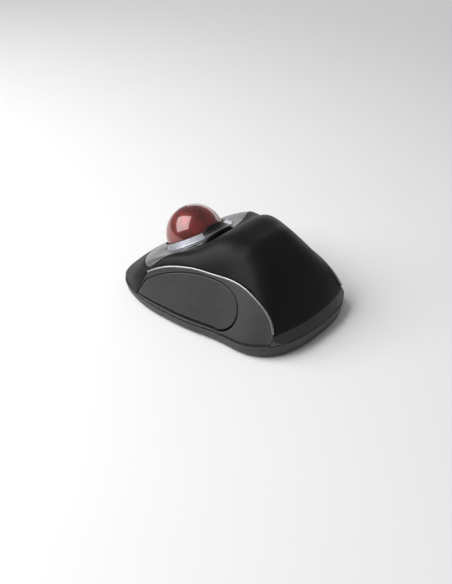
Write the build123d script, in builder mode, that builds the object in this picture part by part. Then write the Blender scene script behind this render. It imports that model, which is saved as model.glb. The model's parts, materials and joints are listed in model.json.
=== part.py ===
from build123d import *
import os
from math import cos, radians, sin

# A cordless trackball mouse for either hand. +Z is up, +Y points away from the user, to the
# ball end, and +X to the user's right. The origin is on the desk, under the middle of the case.

os.makedirs("parts", exist_ok=True)

# ---------------------------------------------------------------- driving dimensions (mm)
wall = 2.0  # case wall
foot_height = 1.0  # the tray's underside stands this far off the desk
floor_top = foot_height + wall
undercut = 0.9  # the tray's outline is this much smaller at its underside
tray_rim_width = 3.2
bead_radius = 0.6  # the bright trim along each lip
panel_front_foot = (35.2, 3.0)  # side view foot of the side panel's front seam: y, z
tail_height = 13.0  # top of the strip round the tail
tail_half_width = 27.0  # the strip reaches at least this far to each side

ball_radius = 16.2
ball_centre = Vector(0, 29.7, 27.2)
ball_tilt = 30.0  # the collar's axis leans this far forward, degrees
socket_radius = 17.0
cup_radius = 19.4
collar_base = -6.0  # along the collar's axis from the ball's centre
collar_top = 1.0
rear_collar_top = 2.8
rear_collar_half_angle = 27.0
# Half the rear collar's top edge, seen along the mouse: distance from the middle, height
rear_collar_rise = [(8.2, 1.0), (7.4, 1.25), (5.8, 2.1), (4.0, 2.6), (1.5, 2.8)]
strip_start = -8.5  # the touch strips' arc, degrees behind the ball's side
strip_end = 63.5
bearing_radius = 1.25
bearing_gap = 0.05
bearing_angle = 55.0  # from the bottom of the collar's axis, degrees
window_radius = 3.2

key_gap = 0.35
key_front_gap = 1.0
key_lift = 0.85  # the key's lower edge is raised by its own drop
hinge_x = 22.8  # the keys turn about lines along Y at this x and z
hinge_z = 24.8
hinge_pin_radius = 1.2
hinge_rows = [(-17.6, -15.6, 28.2, -20.4, -20.6, -18.0), (7.6, 9.6, 33.2, 12.4, 10.0, 12.6)]
actuator_y = 1.5  # where each key presses its switch
actuator_z = 9.7
actuator_tip = 34.6
actuator_radius = 2.0
actuator_length = 4.0

cell_radius = 7.15  # AA cell
cell_length = 50.2
nub_radius = 2.7
nub_length = 1.3
cell_height = 10.6  # cell axis above the desk
cell_rows = (-15.6, -31.2)  # y of the two cell axes
bay_half_length = 27.4
bay_radius = 7.65
bay_wall = 1.2
bay_relief = (27.9, 15.5)  # the vault's ends are cut back past this x above this z, clear of the keys
contact_thickness = 0.4
door_gap = 0.35
door_thickness = 1.8

board_bottom = 5.2
board_thickness = 1.6
board_top = board_bottom + board_thickness
board_half_width = 33.3
board_rear = -6.3
board_front = 12.0

screw_places = [(31, 44), (-31, 44), (14, -49.5), (-14, -49.5)]
screw_radius = 1.05
boss_radius = 3.2
boss_split = 10.0  # the tray's bosses meet the cover's bosses here
foot_places = [(22, 50), (-22, 50), (26, -44.2), (-26, -44.2)]
foot_radius = 4.0
foot_pocket = 0.4

switch_y = 26.0  # power switch
switch_rest_x = -27.5
switch_travel = 3.0

receiver_x = 26.0  # the receiver's bay
receiver_low = 17.4
receiver_high = 36.0
receiver_split = 24.0  # cap to plug shell

# Plan outline at the parting line, right half from nose to tail: x, y
half_outline = [
    (0, 57.9),
    (14, 57.5),
    (26, 56.0),
    (33.0, 52.9),
    (37.5, 47.8),
    (40.3, 41.2),
    (42.4, 33),
    (43.6, 24),
    (43.7, 14),
    (43.1, 3),
    (41.6, -8),
    (39.6, -18),
    (38.6, -28),
    (38.0, -37),
    (34.7, -45.9),
    (27.7, -52.7),
    (16.0, -57.1),
    (0, -58.3),
]

# Stations across the case: y, foot of the flank (x at the desk), lip x, lip z, crown z, roundness
# and the dip in the middle. The flank is straight from its foot to the lip, and the roof is a
# superellipse arc from lip to lip, less the dip.
stations = [
    (-62, 33.0, 31.0, -1.0, 1.5, 2.0, 0),
    (-56, 33.0, 30.0, 3.5, 11.3, 2.0, 0),
    (-50, 33.9, 28.4, 14.0, 19.8, 2.6, 0),
    (-44, 38.2, 26.2, 22.6, 28.0, 3.0, 0),
    (-37, 41.3, 25.8, 27.0, 36.0, 3.4, 0),
    (-29, 42.2, 25.5, 30.0, 42.3, 3.6, 0),
    (-20, 42.9, 26.2, 31.2, 45.9, 4.0, 0),
    (-10, 45.0, 28.2, 31.1, 46.6, 4.8, 0),
    (0, 46.4, 30.8, 31.2, 42.8, 5.2, 0.6),
    (7, 46.7, 32.8, 30.2, 40.4, 8.5, 4.8),
    (14, 46.5, 35.0, 28.5, 37.4, 13.0, 5.6),
    (20, 46.1, 37.2, 26.0, 34.6, 14.0, 4.9),
    (26, 45.2, 39.5, 22.4, 31.6, 12.0, 4.6),
    (32, 43.8, 40.7, 18.5, 28.2, 9.0, 3.4),
    (40, 41.4, 39.3, 13.6, 22.6, 6.0, 1.2),
    (48, 39.3, 35.6, 9.6, 16.4, 4.0, 0),
    (54, 37.5, 32.6, 6.6, 11.6, 3.2, 0),
    (60, 37.0, 32.0, 3.0, 5.5, 4.0, 0),
]

# Side view of the parting line between the tray and the covers: y, z
parting_line = [(-60, 7.9), (-51, 7.9), (-44, 6.6), (-30, 5.8), (-13, 5.4), (28, 5.6), (60, 5.8)]
# Side view of a key's opening, from its top front corner over the top and round the rear: y, z
key_arch = [
    (27.4, 17.3),
    (15.5, 24.6),
    (5, 28.1),
    (-4, 29.3),
    (-12, 29.1),
    (-19.5, 27.8),
    (-25.6, 24.6),
    (-29.2, 19),
    (-29.4, 13),
    (-26, 8),
    (-19, 6.4),
]
key_front_foot = (33.2, 6.6)
# Plan of the eye-shaped bezel, right half from its rear middle round the tip: x, y
bezel_half = [
    (0, 10.7),
    (15, 12),
    (25, 15),
    (33.5, 20),
    (38, 26.5),
    (34, 34),
    (25, 42.5),
    (13, 48.8),
    (0, 50.6),
]


def outline(height, inset):
    """Draws the plan outline at a height, smaller by inset all round."""
    scale_x = 1 - inset / 43.7
    scale_y = 1 - inset / 57.5
    right = [(x * scale_x, y * scale_y) for x, y in half_outline]
    left = [(-x, y) for x, y in reversed(right[1:-1])]
    with BuildSketch(Plane.XY.offset(height)) as sketch:
        with BuildLine():
            Spline(*right, *left, periodic=True)
        make_face()
    return sketch.sketch


def cross_section(station, inset):
    """Draws the case's cross-section at a station, smaller by inset all round."""
    y, foot, lip_x, lip_z, crown, roundness, dip = station
    foot -= 1.15 * inset
    lip_x -= 0.9 * inset
    lip_z -= 0.75 * inset
    crown -= inset
    across = [-1, -0.97, -0.92, -0.83, -0.7, -0.5, -0.25, 0, 0.25, 0.5, 0.7, 0.83, 0.92, 0.97, 1]
    roof = []
    for u in across:
        drop = (crown - lip_z) * abs(u) ** roundness
        roof.append((lip_x * u, crown - drop - dip * (1 - u**4)))
    with BuildSketch(Plane.XZ.offset(-y)) as sketch:
        with BuildLine():
            Spline(*roof)
            Polyline((lip_x, lip_z), (foot, -5), (-foot, -5), (-lip_x, lip_z))
        make_face()
    return sketch.sketch


def above_parting():
    """Draws the side view's region above the parting line."""
    with BuildSketch(Plane.YZ) as sketch:
        with BuildLine():
            Spline(*parting_line)
            Polyline(parting_line[-1], (60, 70), (-60, 70), parting_line[0])
        make_face()
    return sketch.sketch


# ---------------------------------------------------------------- the case as one closed skin
with BuildPart() as skin:
    loft([cross_section(station, 0) for station in stations])
    extrude(outline(0, 0), amount=60, mode=Mode.INTERSECT)
    extrude(above_parting(), amount=60, both=True, mode=Mode.INTERSECT)

with BuildPart() as hollow:
    loft([cross_section(station, wall) for station in stations])
    extrude(outline(0, wall), amount=60, mode=Mode.INTERSECT)

with BuildPart() as case_wall:
    add(skin.part)
    add(hollow.part, mode=Mode.SUBTRACT)


def finish(part, name):
    """Names a finished piece and writes it."""
    part.label = name
    export_step(part, f"parts/{name}.step")


def block(low, high, mode=Mode.ADD):
    """Makes a box from its lowest to its highest corner."""
    size = [b - a for a, b in zip(low, high)]
    with Locations(tuple(low)):
        Box(*size, align=Align.MIN, mode=mode)


def peg(centre, radius, height, mode=Mode.ADD):
    """Makes an upright cylinder on its lower face's centre."""
    with Locations(tuple(centre)):
        Cylinder(radius, height, align=(Align.CENTER, Align.CENTER, Align.MIN), mode=mode)


def rod(start, radius, length, direction, mode=Mode.ADD):
    """Makes a cylinder from the centre of its first face along a direction."""
    with Locations(Plane(origin=start, z_dir=direction)):
        Cylinder(radius, length, align=(Align.CENTER, Align.CENTER, Align.MIN), mode=mode)


# ---------------------------------------------------------------- regions that split the wall
# The right lip in space, front to rear
lip_path = [(lip_x, y, lip_z) for y, foot, lip_x, lip_z, *rest in reversed(stations) if -50 <= y <= 26]
# Side view of the side panel's rounded rear corner, from the end of the lip down: y, z
panel_corner = [(-50.6, 11.0), (-49.8, 8.6), (-47.6, 6.6)]
panel_rear_foot = (-44, 3)

with BuildPart() as panel_region:
    with BuildSketch(Plane.YZ):
        with BuildLine():
            Spline(*[(y, z) for x, y, z in lip_path], *panel_corner)
            Polyline(panel_corner[-1], panel_rear_foot, panel_front_foot, lip_path[0][1:])
        make_face()
    extrude(amount=60, both=True)
    block((-tail_half_width, -60, 0), (tail_half_width, -40, tail_height), Mode.SUBTRACT)

with BuildPart() as tail_region:
    block((-60, -60, 0), (60, -44, tail_height))
    add(panel_region.part, mode=Mode.SUBTRACT)


def key_profile(points, front_foot):
    """Draws the side view of a key or of its opening."""
    with BuildSketch(Plane.YZ) as sketch:
        with BuildLine():
            Spline(*points)
            Polyline(points[-1], front_foot, points[0])
        make_face()
    return sketch.sketch


def inside_opening(y, z):
    """Moves a point of the opening's outline to the key's own, wider apart below and in front."""
    rear, front = key_arch[8][0], key_front_foot[0]
    top, bottom = key_arch[3][1], key_arch[-1][1]
    scale_y = (front - key_front_gap - rear - key_gap) / (front - rear)
    scale_z = (top - key_gap - bottom - key_gap - key_lift) / (top - bottom)
    return rear + key_gap + (y - rear) * scale_y, top - key_gap - (top - z) * scale_z


with BuildPart() as key_region:
    extrude(key_profile(key_arch, key_front_foot), amount=60, both=True)

with BuildPart() as bezel_region:
    with BuildSketch():
        with BuildLine():
            Spline(*bezel_half, *[(-x, y) for x, y in reversed(bezel_half[1:-1])], periodic=True)
        make_face()
    extrude(amount=60)

with BuildPart() as beads:
    for sign in (-1, 1):
        with BuildLine() as path:
            Spline(*[(sign * x, y, z) for x, y, z in lip_path])
        with BuildSketch(path.line ^ 0):
            Circle(bead_radius)
        sweep()

with BuildPart() as side_panels:
    add(case_wall.part)
    add(panel_region.part, mode=Mode.INTERSECT)
    add(key_region.part, mode=Mode.SUBTRACT)
    add(beads.part, mode=Mode.SUBTRACT)

with BuildPart() as key_walls:
    key_outline = [inside_opening(y, z) for y, z in key_arch]
    extrude(key_profile(key_outline, inside_opening(*key_front_foot)), amount=60, both=True)
    add(case_wall.part, mode=Mode.INTERSECT)

for side, index in (("left", 0), ("right", -1)):
    with BuildPart() as lip_trim:
        add(beads.part.solids().sort_by(Axis.X)[index])
    finish(lip_trim.part, f"{side}_lip_trim")
    with BuildPart() as side_panel:
        add(side_panels.part.solids().sort_by(Axis.X)[index])
    finish(side_panel.part, f"{side}_side_panel")

# ---------------------------------------------------------------- top cover
rib_inner = 20.4
rib_outer = 25.2
rib_bottom = 22.0
pilot_radius = screw_radius + 0.05

with BuildPart() as cover_supports:
    for x, y in screw_places:
        peg((x, y, boss_split), boss_radius, 30)
    for sign in (-1, 1):
        for arm_low, arm_high, arm_outer, pin_end, rib_low, rib_high in hinge_rows:
            corners = sorted((sign * rib_inner, sign * rib_outer))
            block((corners[0], rib_low, rib_bottom), (corners[1], rib_high, 60))
    add(hollow.part, mode=Mode.INTERSECT)
    for x, y in screw_places:
        peg((x, y, boss_split), pilot_radius, 3.5, Mode.SUBTRACT)
    for sign in (-1, 1):
        rod((sign * hinge_x, -30, hinge_z), hinge_pin_radius + 0.1, 50, (0, 1, 0), Mode.SUBTRACT)

with BuildPart() as top_shell:
    add(case_wall.part)
    add(panel_region.part, mode=Mode.SUBTRACT)
    add(tail_region.part, mode=Mode.SUBTRACT)
    add(bezel_region.part, mode=Mode.SUBTRACT)
    add(beads.part, mode=Mode.SUBTRACT)
    add(cover_supports.part)
finish(top_shell.part, "top_shell")

with BuildPart() as rear_rim_strip:
    add(case_wall.part)
    add(tail_region.part, mode=Mode.INTERSECT)
finish(rear_rim_strip.part, "rear_rim_strip")

# ---------------------------------------------------------------- click keys
for side, sign, index in (("left", -1, 0), ("right", 1, -1)):
    with BuildPart() as key_arms:
        for arm_low, arm_high, arm_outer, pin_end, rib_low, rib_high in hinge_rows:
            corners = sorted((sign * (hinge_x - 1.8), sign * arm_outer))
            block((corners[0], arm_low, hinge_z - 1.6), (corners[1], arm_high, hinge_z + 1.6))
            pin_start = arm_low if pin_end < arm_low else arm_high
            toward = 1 if pin_end > pin_start else -1
            pin_length = abs(pin_end - pin_start)
            rod((sign * hinge_x, pin_start, hinge_z), hinge_pin_radius, pin_length, (0, toward, 0))
        actuator_start = (sign * actuator_tip, actuator_y, actuator_z)
        rod(actuator_start, actuator_radius, actuator_length, (sign, 0, 0))
    with BuildPart() as click_key:
        add(key_walls.part.solids().sort_by(Axis.X)[index])
        for arm in key_arms.part.solids():
            add(arm)
    finish(click_key.part, f"{side}_key")

# ---------------------------------------------------------------- ball, collar and cup
collar_axis = (0, sin(radians(ball_tilt)), cos(radians(ball_tilt)))
collar_plane = Plane(ball_centre, x_dir=(1, 0, 0), z_dir=collar_axis)
# Half-sections round the collar's axis: distance from the axis, height along it
collar_section = [
    (socket_radius - 1, collar_base),
    (socket_radius - 1, collar_top),
    (17.7, collar_top),
    (21.6, -1.9),
    (21.6, collar_base),
]
rear_collar_section = [
    (socket_radius - 1, collar_base),
    (socket_radius - 1, rear_collar_top),
    (18.4, rear_collar_top),
    (19.4, collar_base),
]
strip_section = [(17.8, collar_top), (21.6, -1.8), (21.6, -3.4), (17.8, collar_top - 2)]


def ring_part(section, start, sweep_angle):
    """Revolves a half-section round the collar's axis, starting at an angle from its own x."""
    with BuildPart() as ring:
        with BuildSketch(Plane.XZ.rotated((0, 0, start))):
            with BuildLine():
                Polyline(*section, close=True)
            make_face()
        revolve(axis=Axis.Z, revolution_arc=sweep_angle)
    return ring.part


# The wall behind the ball, rising in a smooth curve from the touch strips to the middle
with BuildPart() as rear_collar:
    add(ring_part(rear_collar_section, -90 - rear_collar_half_angle, 2 * rear_collar_half_angle))
    with BuildSketch(Plane.XZ):
        with BuildLine():
            Spline(*rear_collar_rise, *[(-x, z) for x, z in reversed(rear_collar_rise)])
            end_x, end_z = rear_collar_rise[0]
            Polyline((-end_x, end_z), (-end_x, collar_base), (end_x, collar_base), (end_x, end_z))
        make_face()
    extrude(amount=60, both=True, mode=Mode.INTERSECT)


strip_arc = strip_end - strip_start
touch_strips = {
    "left": collar_plane.location * ring_part(strip_section, 180 + strip_start, strip_arc),
    "right": collar_plane.location * ring_part(strip_section, -strip_end, strip_arc),
}

with BuildPart() as ball_bezel:
    add(case_wall.part)
    add(collar_plane.location * ring_part(collar_section, 0, 360))
    add(collar_plane.location * rear_collar.part)
    add(bezel_region.part, mode=Mode.INTERSECT)
    with Locations(collar_plane):
        Cylinder(socket_radius, 60, mode=Mode.SUBTRACT)
    for strip in touch_strips.values():
        add(strip, mode=Mode.SUBTRACT)
    add(side_panels.part, mode=Mode.SUBTRACT)
    add(beads.part, mode=Mode.SUBTRACT)
finish(ball_bezel.part, "ball_bezel")

for side, strip in touch_strips.items():
    with BuildPart() as touch_strip:
        add(strip)
        add(bezel_region.part, mode=Mode.INTERSECT)
    finish(touch_strip.part, f"{side}_touch_strip")

with BuildPart() as ball:
    with Locations(ball_centre):
        Sphere(ball_radius)
finish(ball.part, "ball")

bearing_distance = ball_radius + bearing_gap + bearing_radius
pocket_depth = 2 * (bearing_radius + bearing_gap)
bearing_places = []
for azimuth in (90, 210, 330):
    reach = bearing_distance * sin(radians(bearing_angle))
    depth = bearing_distance * cos(radians(bearing_angle))
    place = (reach * cos(radians(azimuth)), reach * sin(radians(azimuth)), -depth)
    bearing_places.append(collar_plane.from_local_coords(place))

flange_depth = 1.6
flange_radius = 20.5
leg_radius = 2.0
leg_x = 13.0
with BuildPart() as cup_bowl:
    with BuildSketch(Plane.XZ):
        Circle(cup_radius)
        with Locations((0, collar_base)):
            Rectangle(2 * flange_radius, flange_depth, align=(Align.CENTER, Align.MAX))
            Rectangle(80, 80, align=(Align.CENTER, Align.MIN), mode=Mode.SUBTRACT)
        Circle(socket_radius, mode=Mode.SUBTRACT)
        Rectangle(80, 80, align=(Align.MAX, Align.CENTER), mode=Mode.SUBTRACT)
    revolve(axis=Axis.Z)

with BuildPart() as cup_legs:
    for sign in (-1, 1):
        peg((sign * leg_x, ball_centre.Y, floor_top), leg_radius, 12)
    with Locations(ball_centre):
        Sphere(cup_radius - 0.6, mode=Mode.SUBTRACT)

with BuildPart() as ball_cup:
    add(collar_plane.location * cup_bowl.part)
    for place in bearing_places:
        outward = (place - ball_centre).normalized()
        pocket_start = ball_centre + outward * ball_radius
        rod(pocket_start, bearing_radius + bearing_gap, pocket_depth, outward, Mode.SUBTRACT)
    peg((0, ball_centre.Y, floor_top), window_radius, 20, Mode.SUBTRACT)
    for leg in cup_legs.part.solids():
        add(leg)
    add(top_shell.part, mode=Mode.SUBTRACT)
finish(ball_cup.part, "ball_cup")

with BuildPart() as bearing_balls:
    with Locations(*bearing_places):
        Sphere(bearing_radius)
finish(bearing_balls.part, "bearing_balls")

# ---------------------------------------------------------------- optical sensor under the ball
sensor_board_top = floor_top + 1.2
sensor_top = sensor_board_top + 2.0
lens_top = sensor_top + 1.6

with BuildPart() as sensor_board:
    block((-10, ball_centre.Y - 9, floor_top), (10, ball_centre.Y + 9, sensor_board_top))
finish(sensor_board.part, "sensor_board")

with BuildPart() as optical_sensor:
    block((-4.5, ball_centre.Y - 4.5, sensor_board_top), (4.5, ball_centre.Y + 4.5, sensor_top))
finish(optical_sensor.part, "optical_sensor")

with BuildPart() as sensor_lens:
    peg((0, ball_centre.Y, sensor_top), 4.5, lens_top - sensor_top)
    peg((0, ball_centre.Y, lens_top), 2.4, 1.2)
    fillet(sensor_lens.edges().sort_by(Axis.Z)[-1], 0.8)
finish(sensor_lens.part, "sensor_lens")

# ---------------------------------------------------------------- base tray
rim_height = 5.2
bay_front = cell_rows[0] + bay_radius
bay_rear = cell_rows[1] - bay_radius
bay_end = bay_half_length + 1.6
hook_places = (-18.0, 18.0)
hook_width = 6.0
receiver_half_bay = 8.2
receiver_wall = 1.2
receiver_roof = 8.2
shelf_x = -26.0  # the power switch's board and its posts
post_places = [(shelf_x, 20.6), (shelf_x, 31.4)]
post_top = 7.9
board_screw_places = [(12, 8), (-12, 8)]
board_pad_places = [(28, -3.5), (-28, -3.5)]


def bay_vault(half_length, radius, low):
    """Makes the vaulted block over the two cells, open down to a height."""
    front = cell_rows[0] + radius
    rear = cell_rows[1] - radius
    for y in cell_rows:
        rod((-half_length, y, cell_height), radius, 2 * half_length, (1, 0, 0))
    block((-half_length, rear, low), (half_length, front, cell_height))


with BuildPart() as bay_outer:
    bay_vault(bay_end, bay_radius + bay_wall, floor_top)
    block((-60, -60, -10), (60, 60, floor_top), Mode.SUBTRACT)
    add(hollow.part, mode=Mode.INTERSECT)
    relief_x, relief_z = bay_relief
    for near, far in ((relief_x, 60), (-60, -relief_x)):
        block((near, -60, relief_z), (far, 60, 60), Mode.SUBTRACT)

with BuildPart() as bay_inner:
    bay_vault(bay_half_length, bay_radius, 0)

with BuildPart() as base_tray:
    loft([outline(foot_height, undercut), outline(rim_height, 0)])
    extrude(outline(rim_height, 0), amount=4)
    extrude(above_parting(), amount=60, both=True, mode=Mode.SUBTRACT)
    extrude(outline(floor_top, tray_rim_width), amount=20, mode=Mode.SUBTRACT)
    add(bay_outer.part)
    block(
        (receiver_x - receiver_half_bay - receiver_wall, 15.8, floor_top),
        (receiver_x + receiver_half_bay + receiver_wall, 37.6, receiver_roof + receiver_wall),
    )
    for x, y in screw_places:
        peg((x, y, floor_top), boss_radius, boss_split - floor_top)
    for x, y in board_screw_places:
        peg((x, y, floor_top), 2.4, board_bottom - floor_top)
    for x, y in board_pad_places:
        peg((x, y, floor_top), 1.6, board_bottom - floor_top)
    for x, y in post_places:
        peg((x, y, floor_top), 1.6, post_top - floor_top)
    add(bay_inner.part, mode=Mode.SUBTRACT)
    block(
        (receiver_x - receiver_half_bay, 17.0, 0),
        (receiver_x + receiver_half_bay, 36.4, receiver_roof),
        Mode.SUBTRACT,
    )
    block((receiver_x - 4, 36.0, 0), (receiver_x + 4, 40.4, 2.0), Mode.SUBTRACT)
    block((-29.9, switch_y - 1.9, 0), (-22.1, switch_y + 1.9, floor_top), Mode.SUBTRACT)
    for x in hook_places:
        low = (x - hook_width / 2 - 0.4, bay_front - 0.1, floor_top)
        block(low, (x + hook_width / 2 + 0.4, bay_front + bay_wall + 0.1, 5.4), Mode.SUBTRACT)
    for x, y in screw_places:
        peg((x, y, 0), 2.4, 4.0, Mode.SUBTRACT)
        peg((x, y, 0), screw_radius + 0.25, 20, Mode.SUBTRACT)
    for x, y in board_screw_places:
        peg((x, y, floor_top + 0.2), 1.0, 5, Mode.SUBTRACT)
    for x, y in foot_places:
        peg((x, y, 0), foot_radius, foot_height + foot_pocket, Mode.SUBTRACT)
finish(base_tray.part, "base_tray")

with BuildPart() as feet:
    for x, y in foot_places:
        peg((x, y, 0), foot_radius, foot_height + foot_pocket)
    fillet(feet.edges().group_by(Axis.Z)[0], 0.3)
finish(feet.part, "feet")

with BuildPart() as case_screws:
    for x, y in screw_places:
        peg((x, y, 2.3), 2.2, 1.7)
        peg((x, y, 4.0), screw_radius, 8.2)
        for turn in (0, 90):
            with Locations(Location((x, y, 2.3), (0, 0, turn))):
                Box(2.4, 0.6, 1.6, mode=Mode.SUBTRACT)
finish(case_screws.part, "case_screws")

# ---------------------------------------------------------------- battery bay
contact_inner = bay_half_length - contact_thickness
cell_tail = contact_inner - 0.05 - cell_length
with BuildPart() as cells:
    for y, toward in zip(cell_rows, (1, -1)):
        rod((toward * cell_tail, y, cell_height), cell_radius, cell_length - nub_length, (toward, 0, 0))
    fillet(cells.edges().filter_by(GeomType.CIRCLE), 0.5)
    for y, toward in zip(cell_rows, (1, -1)):
        rod((toward * cell_tail, y, cell_height), nub_radius, cell_length, (toward, 0, 0))
finish(cells.part, "battery_cells")

with BuildPart() as battery_contacts:
    for y in cell_rows:
        block((-bay_half_length, y - 5, 5), (-contact_inner, y + 5, 15.4))
        block((contact_inner, y - 5, 5), (bay_half_length, y + 5, 15.4))
    block((contact_inner, cell_rows[1], 5), (bay_half_length, cell_rows[0], cell_height - 0.4))
finish(battery_contacts.part, "battery_contacts")

spring_wire = 0.35
spring_length = 3.0
with BuildPart() as battery_springs:
    for y, toward in zip(cell_rows, (1, -1)):
        seat = Plane((-toward * (contact_inner - 0.4), y, cell_height), z_dir=(toward, 0, 0))
        coil = seat.location * Helix(pitch=1.2, height=spring_length, radius=3.0)
        with BuildSketch(coil ^ 0):
            Circle(spring_wire)
        sweep(path=coil, is_frenet=True)
finish(battery_springs.part, "battery_springs")

door_low = bay_rear + door_gap
door_high = bay_front - door_gap
door_half_length = bay_half_length - door_gap
with BuildPart() as battery_door:
    door_top = foot_height + door_thickness
    block((-door_half_length, door_low, foot_height), (door_half_length, door_high, door_top))
    for x in hook_places:
        low = (x - hook_width / 2, door_high - 1.4, door_top)
        block(low, (x + hook_width / 2, door_high, 4.3))
        block((x - hook_width / 2, door_high - 1.4, 3.3), (x + hook_width / 2, door_high + 1.7, 4.3))
    with Locations((0, door_low, foot_height)):
        Cylinder(7, 1.6, mode=Mode.SUBTRACT)
    for x in (-4, -2, 0, 2, 4):
        block((x - 0.4, door_low + 9, 0.6), (x + 0.4, door_low + 15, 1.4), Mode.SUBTRACT)
finish(battery_door.part, "battery_door")

# ---------------------------------------------------------------- main board and click switches
with BuildPart() as main_board:
    block((-board_half_width, board_rear, board_bottom), (board_half_width, board_front, board_top))
    for x, y in board_screw_places:
        peg((x, y, board_bottom - 1), 1.1, 4, Mode.SUBTRACT)
finish(main_board.part, "main_board")

with BuildPart() as board_screws:
    for x, y in board_screw_places:
        peg((x, y, board_top), 2.0, 1.4)
        peg((x, y, floor_top + 0.4), 0.95, board_top - floor_top - 0.4)
        with Locations((x, y, board_top + 1.4)):
            Box(2.4, 0.6, 1.4, mode=Mode.SUBTRACT)
            Box(0.6, 2.4, 1.4, mode=Mode.SUBTRACT)
finish(board_screws.part, "board_screws")

with BuildPart() as controller_chip:
    block((-4.5, -3.5, board_top), (4.5, 5.5, board_top + 1.2))
    chamfer(controller_chip.edges().group_by(Axis.Z)[-1], 0.2)
finish(controller_chip.part, "controller_chip")

with BuildPart() as radio_chip:
    block((-15, -4, board_top), (-10, 1, board_top + 0.9))
    chamfer(radio_chip.edges().group_by(Axis.Z)[-1], 0.15)
finish(radio_chip.part, "radio_chip")

with BuildPart() as crystal:
    block((-20.2, -2.5, board_top), (-17, 0, board_top + 0.8))
finish(crystal.part, "crystal")

with BuildPart() as capacitors:
    for x in (9, 12, 15, 18):
        block((x, -3.2, board_top), (x + 1.2, -1.2, board_top + 0.9))
finish(capacitors.part, "capacitors")

body_inner = 26.8
body_outer = 33.3
slot_half_width = 1.6
plunger_half_width = 1.4
plunger_half_height = 0.6
plunger_tip = 34.2
for side, sign in (("left", -1), ("right", 1)):
    body_x = sorted((sign * body_inner, sign * body_outer))
    slot_x = sorted((sign * 30.0, sign * 36.0))
    plunger_x = sorted((sign * 31.0, sign * plunger_tip))
    with BuildPart() as microswitch:
        block((body_x[0], -6, board_top), (body_x[1], 6.8, 12.6))
        block(
            (slot_x[0], actuator_y - slot_half_width, actuator_z - plunger_half_height - 0.2),
            (slot_x[1], actuator_y + slot_half_width, actuator_z + plunger_half_height + 0.2),
            Mode.SUBTRACT,
        )
    finish(microswitch.part, f"{side}_microswitch")
    with BuildPart() as plunger:
        block(
            (plunger_x[0], actuator_y - plunger_half_width, actuator_z - plunger_half_height),
            (plunger_x[1], actuator_y + plunger_half_width, actuator_z + plunger_half_height),
        )
        fillet(plunger.edges().filter_by(Axis.Y).sort_by(Axis.X)[(2 if sign > 0 else 0):][:2], 0.4)
    finish(plunger.part, f"{side}_plunger")

# ---------------------------------------------------------------- power switch
with BuildPart() as power_slider:
    x = switch_rest_x
    block((x - 1.8, switch_y - 1.5, 1.3), (x + 1.8, switch_y + 1.5, floor_top + 0.1))
    block((x - 5.5, switch_y - 3, floor_top + 0.1), (x + 5.5, switch_y + 3, floor_top + 1.1))
    block((x - 1, switch_y - 0.9, floor_top + 1.1), (x + 1, switch_y + 0.9, 6.0))
    for dx in (-1.0, 0.0, 1.0):
        block((x + dx - 0.2, switch_y - 2, 1.0), (x + dx + 0.2, switch_y + 2, 1.6), Mode.SUBTRACT)
finish(power_slider.part, "power_slider")

with BuildPart() as power_switch_body:
    block((shelf_x - 5, switch_y - 3, 4.9), (shelf_x + 5, switch_y + 3, post_top))
    block((shelf_x - 3, switch_y - 1.4, 4), (shelf_x + 3, switch_y + 1.4, 6.4), Mode.SUBTRACT)
finish(power_switch_body.part, "power_switch_body")

with BuildPart() as power_board:
    block((shelf_x - 5, 19, post_top), (shelf_x + 5, 33, post_top + 1.2))
finish(power_board.part, "power_board")

# ---------------------------------------------------------------- stowed radio receiver
receiver_bottom = 1.6
receiver_top = 7.8
shell_low = 2.45
shell_high = 6.95
shell_half_width = 6.0
cap_half_width = 7.8
with BuildPart() as receiver_body:
    block(
        (receiver_x - cap_half_width, receiver_low, receiver_bottom),
        (receiver_x + cap_half_width, receiver_split, receiver_top),
    )
    fillet(receiver_body.edges().filter_by(Axis.Z).group_by(Axis.Y)[0], 1.5)
    fillet(receiver_body.edges().group_by(Axis.Z)[0], 0.5)
finish(receiver_body.part, "receiver_body")

with BuildPart() as receiver_shell:
    block(
        (receiver_x - shell_half_width, receiver_split, shell_low),
        (receiver_x + shell_half_width, receiver_high, shell_high),
    )
    block(
        (receiver_x - shell_half_width + 0.3, receiver_split - 1, shell_low + 0.3),
        (receiver_x + shell_half_width - 0.3, receiver_high + 1, shell_high - 0.3),
        Mode.SUBTRACT,
    )
    for dx in (-3.2, 0.8):
        block(
            (receiver_x + dx, receiver_high - 7, shell_low - 1),
            (receiver_x + dx + 2.4, receiver_high - 4.8, shell_low + 0.5),
            Mode.SUBTRACT,
        )
finish(receiver_shell.part, "receiver_shell")

with BuildPart() as receiver_tongue:
    block((receiver_x - 5.2, receiver_split, 4.4), (receiver_x + 5.2, receiver_high - 0.6, 6.3))
finish(receiver_tongue.part, "receiver_tongue")
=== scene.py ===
import json
import math

import bmesh
import bpy
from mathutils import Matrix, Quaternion, Vector


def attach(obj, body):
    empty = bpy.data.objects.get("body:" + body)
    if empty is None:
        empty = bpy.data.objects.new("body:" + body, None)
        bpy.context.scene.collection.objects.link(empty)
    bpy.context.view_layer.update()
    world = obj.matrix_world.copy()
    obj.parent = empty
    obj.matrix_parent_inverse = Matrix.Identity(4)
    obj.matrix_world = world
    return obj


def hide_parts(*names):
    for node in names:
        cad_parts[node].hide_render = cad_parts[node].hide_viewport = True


# A cordless trackball mouse in a plain studio. The outer covers are refined copies of the CAD
# nodes, with rounded edges and open seams, and each surface has its own moulded finish.

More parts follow.
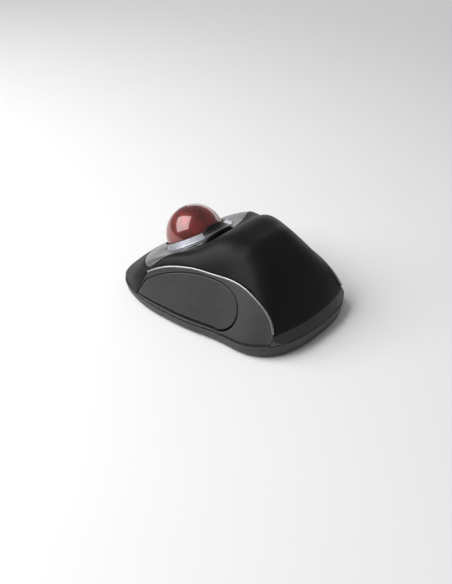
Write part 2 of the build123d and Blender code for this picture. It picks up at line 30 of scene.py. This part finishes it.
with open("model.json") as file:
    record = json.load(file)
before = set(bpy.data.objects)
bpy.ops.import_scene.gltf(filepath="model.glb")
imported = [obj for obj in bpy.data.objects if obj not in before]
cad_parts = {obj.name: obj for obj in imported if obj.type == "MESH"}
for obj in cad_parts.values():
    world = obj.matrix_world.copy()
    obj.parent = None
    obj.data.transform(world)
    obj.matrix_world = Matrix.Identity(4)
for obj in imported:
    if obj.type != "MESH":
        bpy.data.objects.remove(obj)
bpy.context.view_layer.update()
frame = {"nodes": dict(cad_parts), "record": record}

MM = 0.001

# The ball and its collar, as in the CAD
BALL_CENTRE = Vector((0.0, 29.7, 27.2)) * MM
BALL_RADIUS = 16.2 * MM
COLLAR_TILT = math.radians(30)
COLLAR_AXIS = Vector((0.0, math.sin(COLLAR_TILT), math.cos(COLLAR_TILT)))
# The part of the collar wall behind the ball that is given painted shade
REAR_COLLAR_HALF_ANGLE = math.radians(27)
REAR_COLLAR_LOW = -4.0 * MM  # along the collar's axis from the ball's centre
REAR_COLLAR_OUTER = 20.0 * MM  # from the collar's axis

MERGE_MM = 0.002  # vertices closer than this are one
BALL_CUTS = 47  # cuts along each edge of the cube that is blown round

FLOOR_HALF = 6.0
WORLD_STRENGTH = 0.26
CAMERA_DISTANCE = 0.400
CAMERA_LENS = 44.52
CAMERA_SHIFT = (-0.0156, 0.0027)


# ---------------------------------------------------------------- materials
class Finish:
    """A procedural material under construction, with its node tree and its shader."""

    def __init__(self, name, **sockets):
        self.material = bpy.data.materials.new(name)
        self.material.use_nodes = True
        self.tree = self.material.node_tree
        self.nodes = self.tree.nodes
        self.shader = self.nodes["Principled BSDF"]
        for key, value in sockets.items():
            self.shader.inputs[key.replace("_", " ")].default_value = value
        self.place = self.nodes.new("ShaderNodeTexCoord").outputs["Object"]

    def link(self, source, target):
        self.tree.links.new(source, target)

    def noise(self, grain_mm, detail=4.0, roughness=0.55, stretch=None):
        """A noise with features about grain_mm across, finer along an axis where stretched."""
        texture = self.nodes.new("ShaderNodeTexNoise")
        texture.inputs["Scale"].default_value = 1 / (grain_mm * MM)
        texture.inputs["Detail"].default_value = detail
        texture.inputs["Roughness"].default_value = roughness
        source = self.place
        if stretch:
            mapping = self.nodes.new("ShaderNodeMapping")
            mapping.inputs["Scale"].default_value = stretch
            self.link(self.place, mapping.inputs["Vector"])
            source = mapping.outputs["Vector"]
        self.link(source, texture.inputs["Vector"])
        return texture.outputs["Fac"]

    def cells(self, size_mm):
        """A pattern of cells about size_mm across."""
        texture = self.nodes.new("ShaderNodeTexVoronoi")
        texture.inputs["Scale"].default_value = 1 / (size_mm * MM)
        self.link(self.place, texture.inputs["Vector"])
        return texture

    def ramp(self, value, low, high, from_low=0.3, from_high=0.7):
        """Maps a value onto a range between two limits."""
        remap = self.nodes.new("ShaderNodeMapRange")
        remap.inputs["From Min"].default_value = from_low
        remap.inputs["From Max"].default_value = from_high
        remap.inputs["To Min"].default_value = low
        remap.inputs["To Max"].default_value = high
        self.link(value, remap.inputs["Value"])
        return remap.outputs["Result"]

    def blend(self, factor, first, second):
        """Mixes two colours, each a value or an output, by a factor."""
        mix = self.nodes.new("ShaderNodeMix")
        mix.data_type = "RGBA"
        self.link(factor, mix.inputs["Factor"])
        for socket, colour in (("A", first), ("B", second)):
            target = next(i for i in mix.inputs if i.name == socket and i.type == "RGBA")
            if isinstance(colour, bpy.types.NodeSocket):
                self.link(colour, target)
            else:
                target.default_value = (*colour, 1)
        return next(o for o in mix.outputs if o.type == "RGBA")

    def bump(self, height, distance_mm, strength=1.0):
        """Adds a height to the surface, on top of any bump it has."""
        node = self.nodes.new("ShaderNodeBump")
        node.inputs["Distance"].default_value = distance_mm * MM
        node.inputs["Strength"].default_value = strength
        self.link(height, node.inputs["Height"])
        normal = self.shader.inputs["Normal"]
        if normal.is_linked:
            self.link(normal.links[0].from_socket, node.inputs["Normal"])
        self.link(node.outputs["Normal"], normal)

    def edge_wear(self):
        """A factor that is 1 on worn convex edges, broken up by noise."""
        geometry = self.nodes.new("ShaderNodeNewGeometry")
        sharp = self.ramp(geometry.outputs["Pointiness"], 0, 1, 0.53, 0.62)
        patches = self.ramp(self.noise(2.5), 0.25, 1.0)
        product = self.nodes.new("ShaderNodeMath")
        product.operation = "MULTIPLY"
        self.link(sharp, product.inputs[0])
        self.link(patches, product.inputs[1])
        return product.outputs["Value"]

    def colour(self, socket):
        self.link(socket, self.shader.inputs["Base Color"])

    def roughness(self, socket):
        self.link(socket, self.shader.inputs["Roughness"])


def moulded(name, colour, rough, grain_mm=0.22, depth_mm=0.012, worn=1.5, spread=0.06, **sockets):
    """Moulded plastic: a fine spark grain, uneven gloss, faint mottling and paler edges.

    The grain is depth_mm deep, the gloss strays by spread, and an edge is worn times as bright.
    """
    finish = Finish(name, **sockets)
    grain = finish.noise(grain_mm, detail=3)
    finish.bump(grain, depth_mm)
    finish.bump(finish.noise(14, detail=1), 0.05, 0.25)
    smudge = finish.noise(9, detail=5)
    finish.roughness(finish.ramp(smudge, rough - spread, rough + spread))
    dark = [c * 0.9 for c in colour]
    pale = [c * 1.12 for c in colour]
    mottled = finish.blend(finish.ramp(finish.noise(6, detail=6), 0, 1), dark, pale)
    edge = [min(1.0, c * worn + 0.004) for c in colour]
    finish.colour(finish.blend(finish.edge_wear(), mottled, edge))
    return finish.material


def metal(name, colour, rough, stretch=None):
    """Plated or drawn metal with fine scratches and uneven gloss."""
    finish = Finish(name, Metallic=1.0)
    scratches = finish.noise(0.12, detail=4, stretch=stretch)
    finish.bump(scratches, 0.004)
    finish.roughness(finish.ramp(finish.noise(1.5, detail=5), rough * 0.75, rough * 1.3))
    dull = [c * 0.82 for c in colour]
    finish.colour(finish.blend(finish.ramp(finish.noise(3, detail=5), 0, 1), dull, colour))
    return finish.material


def pearl_ball():
    """Deep red resin with fine pearl flakes that swirl under a clear coat."""
    finish = Finish(
        "ball_red",
        Metallic=0.5,
        Coat_Weight=1.0,
        Coat_Roughness=0.03,
        Coat_IOR=1.7,
    )
    swirl = finish.nodes.new("ShaderNodeTexNoise")
    swirl.inputs["Scale"].default_value = 1 / (11 * MM)
    swirl.inputs["Detail"].default_value = 3
    swirl.inputs["Distortion"].default_value = 1.2
    finish.link(finish.place, swirl.inputs["Vector"])
    depth = finish.ramp(swirl.outputs["Fac"], 0, 1, 0.35, 0.68)
    body = finish.blend(depth, (0.10, 0.003, 0.0025), (0.27, 0.011, 0.008))
    flakes = finish.cells(0.16)
    sparkle = finish.ramp(flakes.outputs["Color"], 0, 1, 0.80, 0.98)
    finish.colour(finish.blend(sparkle, body, (0.62, 0.10, 0.07)))
    finish.roughness(finish.ramp(flakes.outputs["Distance"], 0.28, 0.42, 0.0, 0.6))
    finish.bump(flakes.outputs["Distance"], 0.01, 0.35)
    return finish.material


def solder_mask(name):
    """Green board lacquer over faint copper tracks."""
    finish = Finish(name, Coat_Weight=0.3, Coat_Roughness=0.15)
    tracks = finish.nodes.new("ShaderNodeTexBrick")
    tracks.inputs["Scale"].default_value = 1 / (3 * MM)
    tracks.inputs["Mortar Size"].default_value = 0.035
    finish.link(finish.place, tracks.inputs["Vector"])
    finish.colour(finish.blend(tracks.outputs["Fac"], (0.012, 0.085, 0.035), (0.03, 0.17, 0.07)))
    finish.bump(tracks.outputs["Fac"], 0.03)
    finish.roughness(finish.ramp(finish.noise(2), 0.28, 0.42))
    return finish.material


def clear_lens():
    """Clear acrylic with faint waves and smears."""
    tint = (0.9, 0.94, 0.95, 1)
    finish = Finish("lens_clear", Transmission_Weight=1.0, IOR=1.49, Base_Color=tint)
    finish.bump(finish.noise(1.2), 0.01)
    finish.roughness(finish.ramp(finish.noise(2), 0.02, 0.08))
    return finish.material


def cell_jacket():
    """A battery's printed metal jacket: a dark body and a plain copper band at one end."""
    finish = Finish("cell_jacket", Metallic=0.75, Coat_Weight=0.5, Coat_Roughness=0.12)
    split = finish.nodes.new("ShaderNodeSeparateXYZ")
    finish.link(finish.place, split.inputs["Vector"])
    band = finish.ramp(split.outputs["X"], 0, 1, 0.0128, 0.0130)
    finish.colour(finish.blend(band, (0.03, 0.032, 0.036), (0.42, 0.20, 0.08)))
    finish.bump(finish.noise(0.5), 0.01)
    finish.roughness(finish.ramp(finish.noise(4), 0.22, 0.36))
    return finish.material


MATERIALS = {
    "shell_black": moulded(
        "shell_black",
        (0.0048, 0.0050, 0.0053),
        0.50,
        grain_mm=0.16,
        depth_mm=0.004,
        worn=1.8,
        spread=0.03,
        Specular_IOR_Level=0.22,
    ),
    "panel_gray": moulded("panel_gray", (0.033, 0.034, 0.035), 0.52, grain_mm=0.26, depth_mm=0.014),
    "key_gray": moulded("key_gray", (0.026, 0.027, 0.028), 0.48, depth_mm=0.010, worn=2.2),
    "rim_gray": moulded("rim_gray", (0.030, 0.029, 0.029), 0.36, depth_mm=0.004, Coat_Weight=0.15),
    "bezel_gray": moulded(
        "bezel_gray",
        (0.15, 0.152, 0.155),
        0.34,
        grain_mm=0.12,
        depth_mm=0.003,
        worn=1.15,
        spread=0.04,
        Metallic=0.55,
        Coat_Weight=0.25,
        Coat_Roughness=0.2,
    ),
    # A near-black material laid on the wall behind the ball as painted shade
    "collar_shadow": moulded("collar_shadow", (0.006, 0.006, 0.0065), 0.42, depth_mm=0.004),
    "trim_silver": metal("trim_silver", (0.36, 0.36, 0.37), 0.34),
    "strip_silver": moulded(
        "strip_silver",
        (0.46, 0.48, 0.53),
        0.30,
        grain_mm=0.12,
        depth_mm=0.002,
        worn=1.1,
        spread=0.04,
        Metallic=0.6,
        Coat_Weight=0.4,
        Coat_Roughness=0.12,
    ),
    "tray_dark": moulded("tray_dark", (0.032, 0.030, 0.030), 0.46, grain_mm=0.26, depth_mm=0.014),
    "socket_black": moulded("socket_black", (0.008, 0.008, 0.008), 0.5),
    "slider_gray": moulded("slider_gray", (0.30, 0.30, 0.31), 0.5),
    "foot_dark": moulded("foot_dark", (0.022, 0.022, 0.022), 0.68, grain_mm=0.3, depth_mm=0.03),
    "screw_steel": metal("screw_steel", (0.42, 0.42, 0.43), 0.34),
    "contact_nickel": metal("contact_nickel", (0.66, 0.63, 0.57), 0.26),
    "cell_jacket": cell_jacket(),
    "board_green": solder_mask("board_green"),
    "chip_black": moulded("chip_black", (0.016, 0.016, 0.017), 0.55, grain_mm=0.1, depth_mm=0.01),
    "can_steel": metal("can_steel", (0.60, 0.60, 0.60), 0.25, stretch=(1, 12, 1)),
    "capacitor_tan": moulded("capacitor_tan", (0.42, 0.28, 0.15), 0.45),
    "lens_clear": clear_lens(),
    "bearing_white": moulded(
        "bearing_white",
        (0.78, 0.77, 0.73),
        0.18,
        depth_mm=0.001,
        Coat_Weight=0.6,
    ),
    "switch_gray": moulded("switch_gray", (0.07, 0.07, 0.075), 0.42),
    "plunger_white": moulded("plunger_white", (0.72, 0.71, 0.67), 0.4),
    "receiver_black": moulded("receiver_black", (0.014, 0.014, 0.015), 0.44),
    "tongue_blue": moulded("tongue_blue", (0.72, 0.72, 0.70), 0.4),
    "ball_red": pearl_ball(),
}

node_slot = {entry["node"]: entry["material_slot"] for entry in frame["record"]["subparts"]}
for node, cad_object in frame["nodes"].items():
    cad_object.data.materials.clear()
    cad_object.data.materials.append(MATERIALS[node_slot[node]])


# ---------------------------------------------------------------- refined covers
def apply_modifiers(piece):
    """Replaces a piece's mesh by what its modifiers make of it."""
    bpy.context.view_layer.update()
    graph = bpy.context.evaluated_depsgraph_get()
    made = bpy.data.meshes.new_from_object(piece.evaluated_get(graph))
    piece.modifiers.clear()
    piece.data = made


def refined(node, body, voxel_mm=0.4, rounds=6, shrink_mm=0.06):
    """Copies a CAD node as an even mesh, a little smaller all round, with its edges rounded."""
    mesh = frame["nodes"][node].data.copy()
    piece = bpy.data.objects.new(node + "_cover", mesh)
    bpy.context.scene.collection.objects.link(piece)
    work = bmesh.new()
    work.from_mesh(mesh)
    bmesh.ops.remove_doubles(work, verts=work.verts, dist=MERGE_MM * MM)
    work.to_mesh(mesh)
    work.free()
    remesh = piece.modifiers.new("even", "REMESH")
    remesh.mode = "VOXEL"
    remesh.voxel_size = voxel_mm * MM
    remesh.use_smooth_shade = True
    smooth = piece.modifiers.new("round", "SMOOTH")
    smooth.factor = 0.5
    smooth.iterations = rounds
    inset = piece.modifiers.new("seam", "DISPLACE")
    inset.strength = -shrink_mm * MM
    inset.mid_level = 0.0
    apply_modifiers(piece)
    piece.data.shade_smooth()
    piece.data.materials.clear()
    piece.data.materials.append(MATERIALS[node_slot[node]])
    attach(piece, body)
    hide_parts(node)
    return piece


refined("top_shell", "case", voxel_mm=0.45, rounds=8)
for side in ("left", "right"):
    refined(f"{side}_side_panel", "case", voxel_mm=0.3)
    refined(f"{side}_key", f"{side}_key", voxel_mm=0.3, shrink_mm=0.02)
    refined(f"{side}_lip_trim", "case", voxel_mm=0.2, rounds=4, shrink_mm=0.0)
    refined(f"{side}_touch_strip", "case", voxel_mm=0.2, rounds=4, shrink_mm=0.3)
bezel_cover = refined("ball_bezel", "case", voxel_mm=0.3, shrink_mm=0.2)
refined("rear_rim_strip", "case", voxel_mm=0.25, rounds=4)
refined("base_tray", "case", voxel_mm=0.4, rounds=5)

# The wall behind the ball, between the touch strips, gets a near-black material as painted shade
# for the recess there
bezel_cover.data.materials.append(MATERIALS["collar_shadow"])
forward = Vector((0, COLLAR_AXIS.z, -COLLAR_AXIS.y))
for face in bezel_cover.data.polygons:
    offset = face.center - BALL_CENTRE
    height = offset.dot(COLLAR_AXIS)
    flat = offset - COLLAR_AXIS * height
    behind = math.atan2(abs(flat.x), -flat.dot(forward))
    on_collar = height > REAR_COLLAR_LOW and flat.length < REAR_COLLAR_OUTER
    if behind < REAR_COLLAR_HALF_ANGLE and on_collar:
        face.material_index = 1


def smooth_ball():
    """The ball as an even sphere of quads, a cube blown round."""
    work = bmesh.new()
    bmesh.ops.create_cube(work, size=2.0)
    bmesh.ops.subdivide_edges(work, edges=work.edges, cuts=BALL_CUTS, use_grid_fill=True)
    for vertex in work.verts:
        vertex.co = vertex.co.normalized() * BALL_RADIUS + BALL_CENTRE
    mesh = bpy.data.meshes.new("pearl_ball")
    work.to_mesh(mesh)
    work.free()
    mesh.shade_smooth()
    mesh.materials.append(MATERIALS["ball_red"])
    piece = bpy.data.objects.new("pearl_ball", mesh)
    bpy.context.scene.collection.objects.link(piece)
    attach(piece, "ball")
    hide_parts("ball")


smooth_ball()


# ---------------------------------------------------------------- floor, light and camera
def studio_floor():
    """A plain pale floor."""
    finish = Finish("studio_floor", Specular_IOR_Level=0.1)
    finish.roughness(finish.ramp(finish.noise(30), 0.7, 0.8))
    finish.colour(finish.blend(finish.noise(60), (0.93, 0.93, 0.93), (0.95, 0.95, 0.95)))
    mesh = bpy.data.meshes.new("studio_floor")
    around = ((-1, -1), (1, -1), (1, 1), (-1, 1))
    corners = [(x * FLOOR_HALF, y * FLOOR_HALF, 0) for x, y in around]
    mesh.from_pydata(corners, [], [(0, 1, 2, 3)])
    mesh.materials.append(finish.material)
    floor = bpy.data.objects.new("studio_floor", mesh)
    bpy.context.scene.collection.objects.link(floor)


def panel_light(name, azimuth, elevation, distance, width, height, watts, roll=0):
    """A soft rectangular light aimed at the mouse from an azimuth, turned about its own aim."""
    data = bpy.data.lights.new(name, "AREA")
    data.shape = "RECTANGLE"
    data.size = width
    data.size_y = height
    data.energy = watts
    light = bpy.data.objects.new(name, data)
    bpy.context.scene.collection.objects.link(light)
    light.location = view_direction(azimuth, elevation) * distance
    turn = Quaternion((0, 0, 1), math.radians(roll))
    light.rotation_euler = (light.location.to_track_quat("Z", "Y") @ turn).to_euler()


def view_direction(azimuth, elevation):
    """Points from the mouse to a place seen at an azimuth, 0 at the tail, and an elevation."""
    a, e = math.radians(azimuth), math.radians(elevation)
    return Vector((math.sin(a) * math.cos(e), -math.cos(a) * math.cos(e), math.sin(e)))


studio_floor()
world = bpy.data.worlds.new("studio")
world.use_nodes = True
world.node_tree.nodes["Background"].inputs["Color"].default_value = (1, 1, 1, 1)
world.node_tree.nodes["Background"].inputs["Strength"].default_value = WORLD_STRENGTH
bpy.context.scene.world = world
panel_light("key", -130, 46, 0.8, 0.78, 0.74, 8.0, roll=-32)
panel_light("back", 115, 8, 1.2, 1.4, 0.35, 2.0)
bpy.context.scene.view_settings.view_transform = "Standard"

camera_data = bpy.data.cameras.new("camera")
camera_data.lens = CAMERA_LENS
camera_data.sensor_width = 36.0
camera_data.shift_x, camera_data.shift_y = CAMERA_SHIFT
camera_data.clip_start = 0.01
camera = bpy.data.objects.new("camera", camera_data)
bpy.context.scene.collection.objects.link(camera)
camera.location = view_direction(-48, 35) * CAMERA_DISTANCE
camera.rotation_euler = camera.location.to_track_quat("Z", "Y").to_euler()
bpy.context.scene.camera = camera
